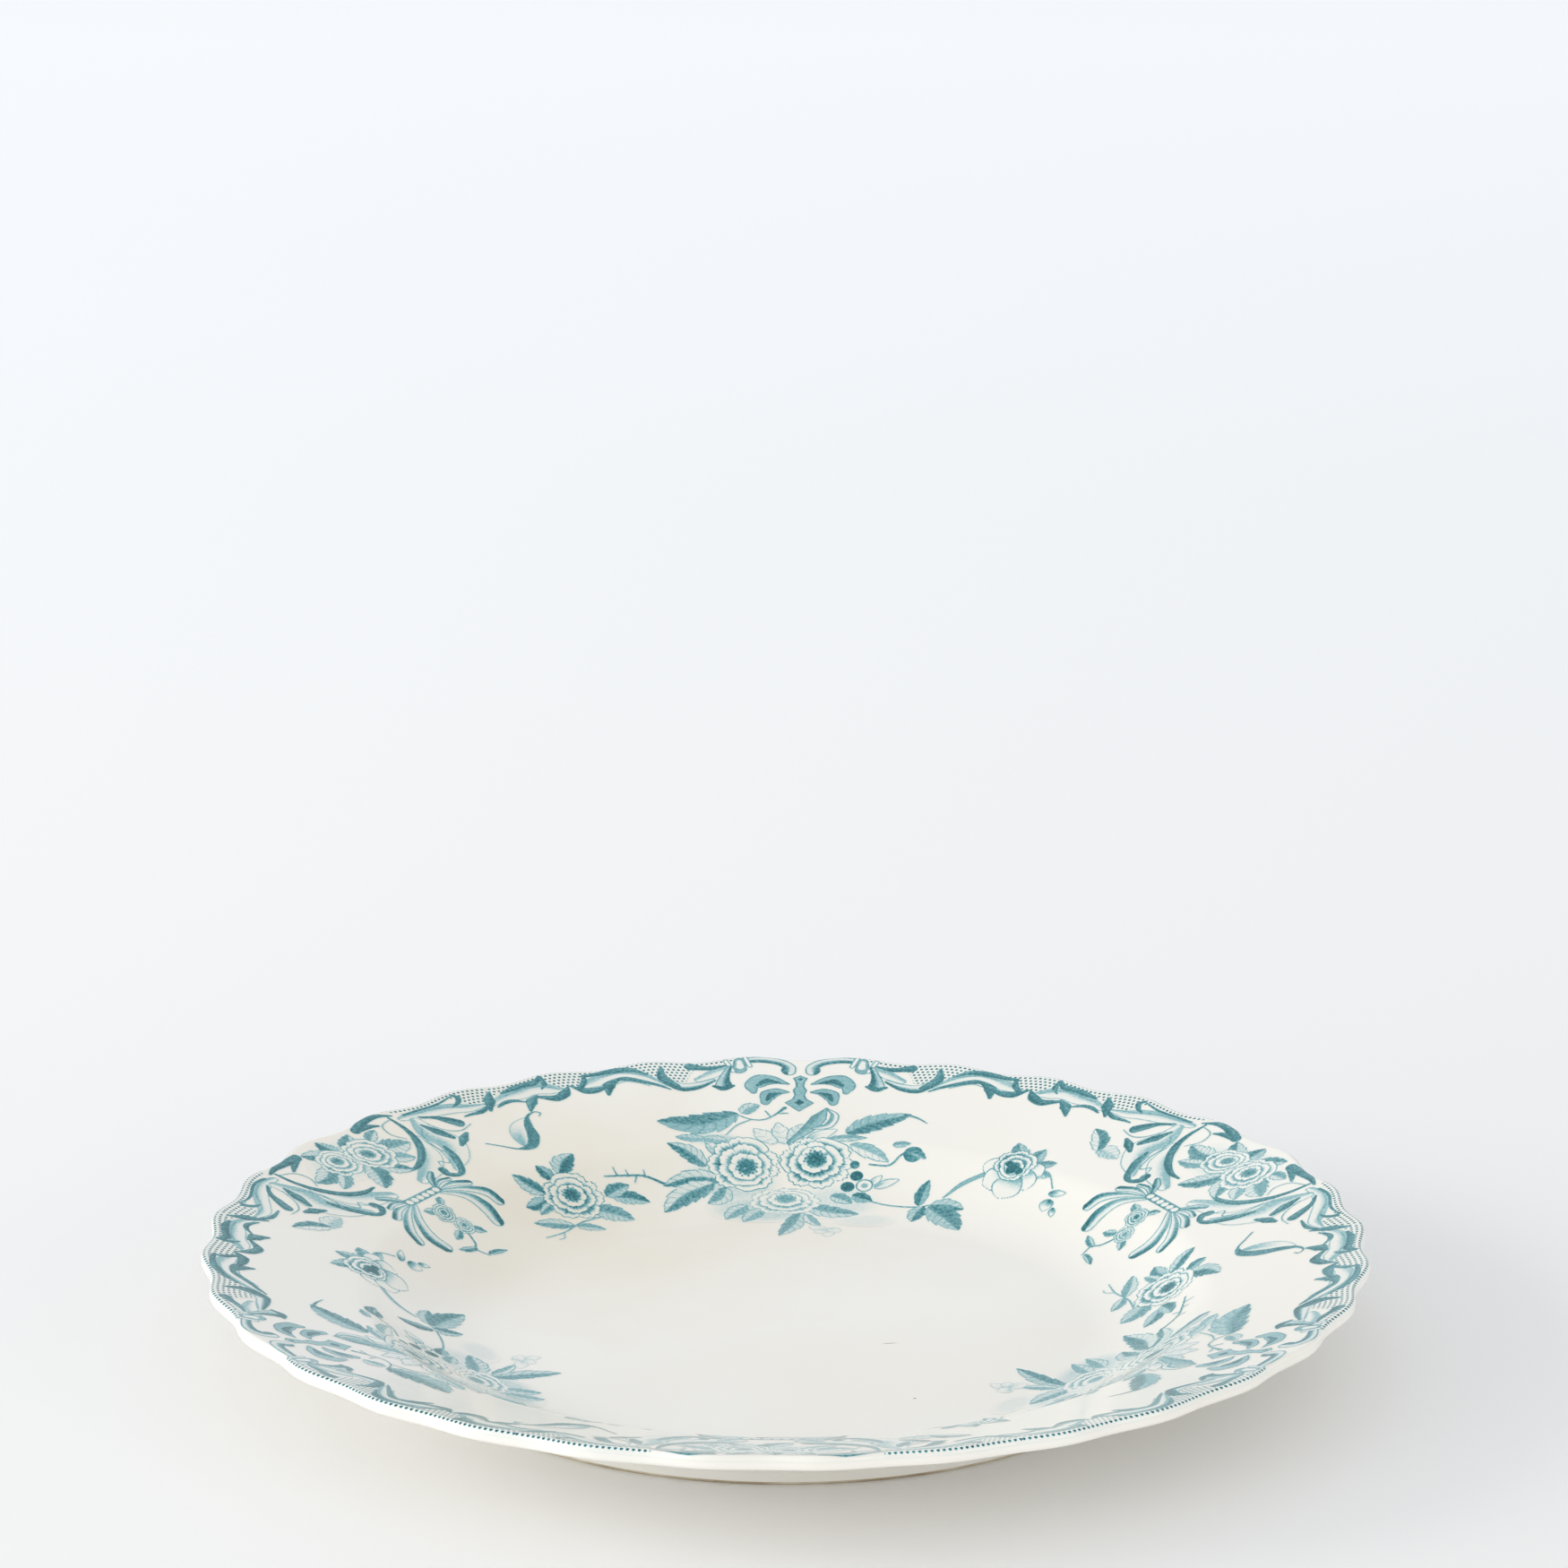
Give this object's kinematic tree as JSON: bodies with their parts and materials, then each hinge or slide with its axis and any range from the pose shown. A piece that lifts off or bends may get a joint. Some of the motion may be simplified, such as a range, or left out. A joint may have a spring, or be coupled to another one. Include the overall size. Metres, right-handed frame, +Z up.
{
  "type": "dinner plate",
  "caption": "Scalloped earthenware dinner plate with a wide sloping rim, a shallow round well, a foot ring and a printed border with bouquets and cartouches.",
  "frame": {"origin": "centre of the standing face of the foot ring, on the surface that the plate stands on", "axes": "+Z up along the plate's axis; +Y towards the first bouquet of the printed pattern"},
  "size_m": [0.2516, 0.2514, 0.025],
  "materials": {
    "biscuit": "matt fired clay, bare only on the standing edge",
    "glaze": "clear gloss glaze over a warm white body",
    "print": "blue-green printed ink under a gloss glaze"
  },
  "bodies": {
    "root": {"biscuit_body": "biscuit", "face_glaze": "glaze", "foot_glaze": "glaze", "border_print_1": "print", "border_print_2": "print", "border_print_3": "print", "cartouche_print_1": "print", "cartouche_print_2": "print", "cartouche_print_3": "print", "bouquet_print_1": "print", "bouquet_print_2": "print", "bouquet_print_3": "print"}
  },
  "joints": []
}
